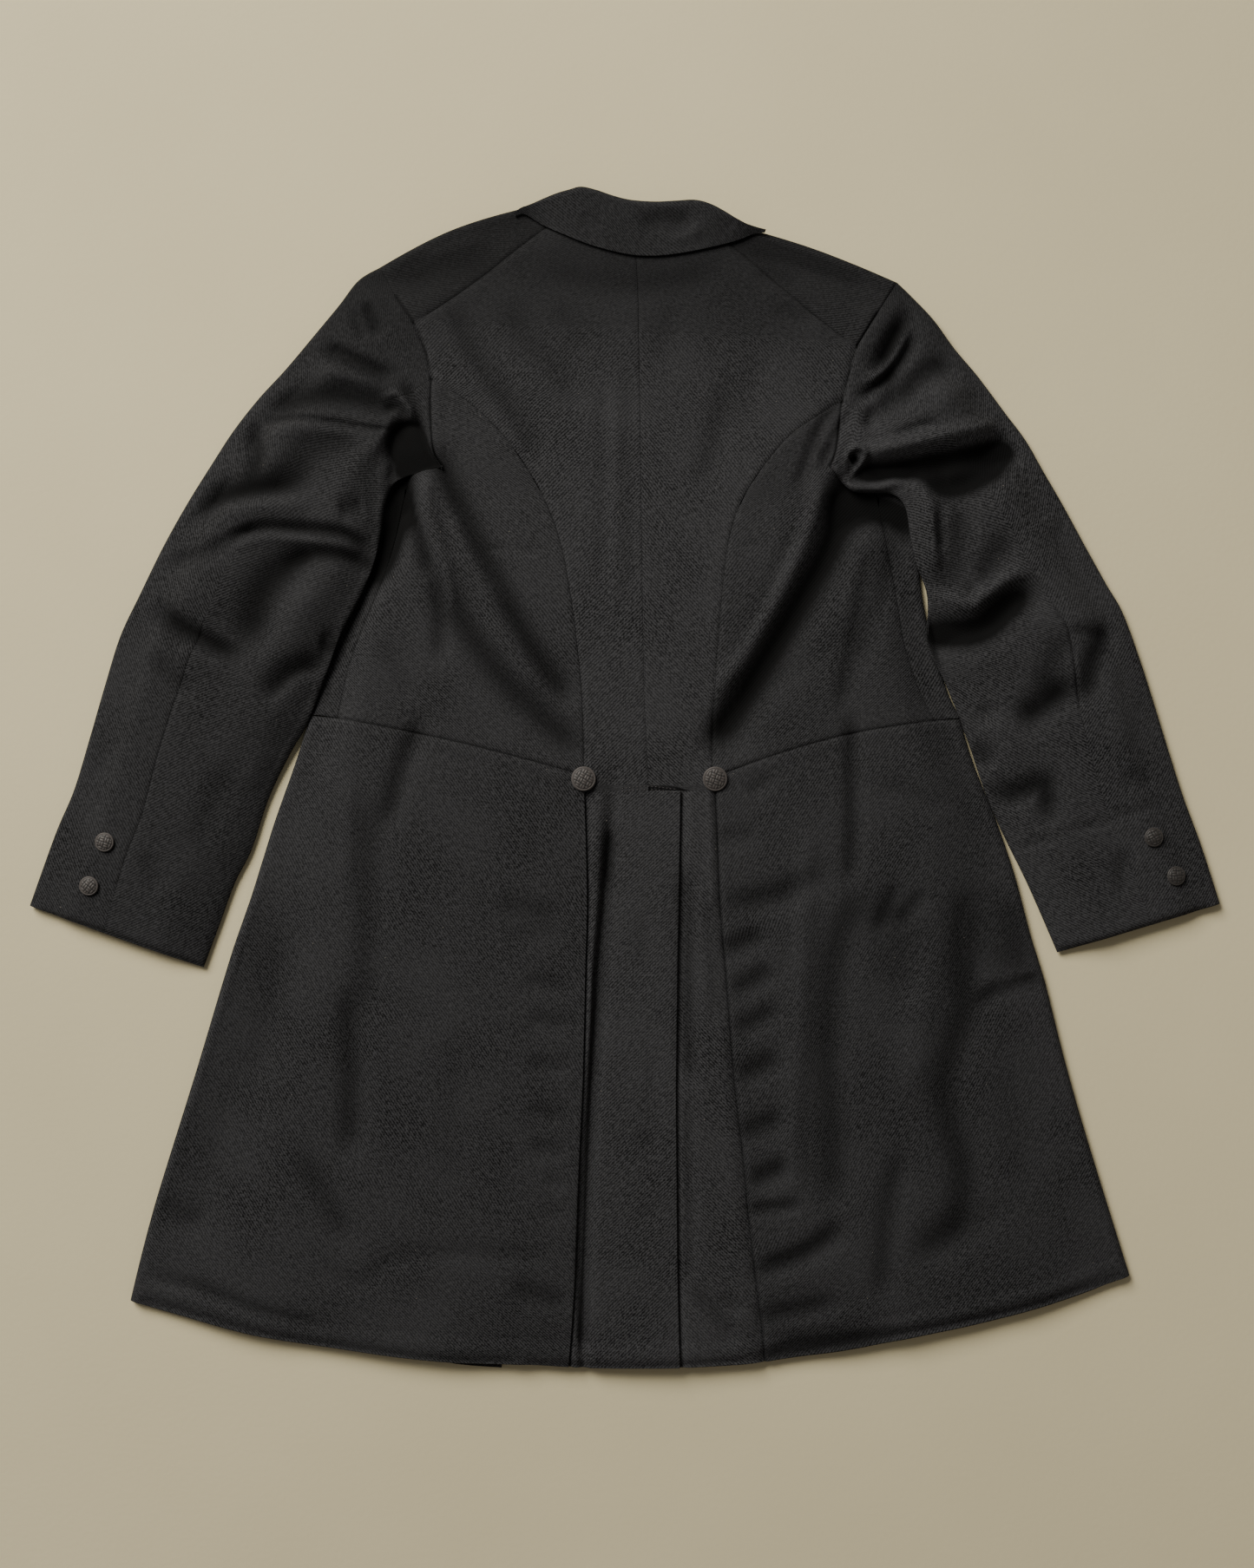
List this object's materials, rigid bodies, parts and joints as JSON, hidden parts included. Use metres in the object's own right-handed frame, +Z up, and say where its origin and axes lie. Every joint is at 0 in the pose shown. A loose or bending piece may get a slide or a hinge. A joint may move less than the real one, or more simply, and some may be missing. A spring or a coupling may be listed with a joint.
{
  "type": "frock coat",
  "caption": "Frock coat laid flat with its back up, turned-down collar, waist seam, full skirts with a centre vent, covered buttons.",
  "frame": {"origin": "middle of the coat's outline, on the ground it lies on", "axes": "+Z up out of the back, +Y from hem to collar, +X to the picture's right"},
  "size_m": [0.9918, 0.9848, 0.0219],
  "materials": {
    "wool": "fine black wool broadcloth",
    "collar_wool": "fine black wool broadcloth",
    "button_cloth": "woven button cloth"
  },
  "bodies": {
    "root": {"back_left": "wool", "back_right": "wool", "side_back_left": "wool", "side_back_right": "wool", "front_left": "wool", "front_right": "wool", "lapel_left": "wool", "lapel_right": "wool", "collar": "collar_wool", "top_sleeve_left": "wool", "top_sleeve_right": "wool", "under_sleeve_left": "wool", "under_sleeve_right": "wool", "skirt_left": "wool", "skirt_right": "wool", "hip_button_left": "button_cloth", "hip_button_right": "button_cloth", "cuff_button_left_1": "button_cloth", "cuff_button_left_2": "button_cloth", "cuff_button_right_1": "button_cloth", "cuff_button_right_2": "button_cloth"}
  },
  "joints": []
}
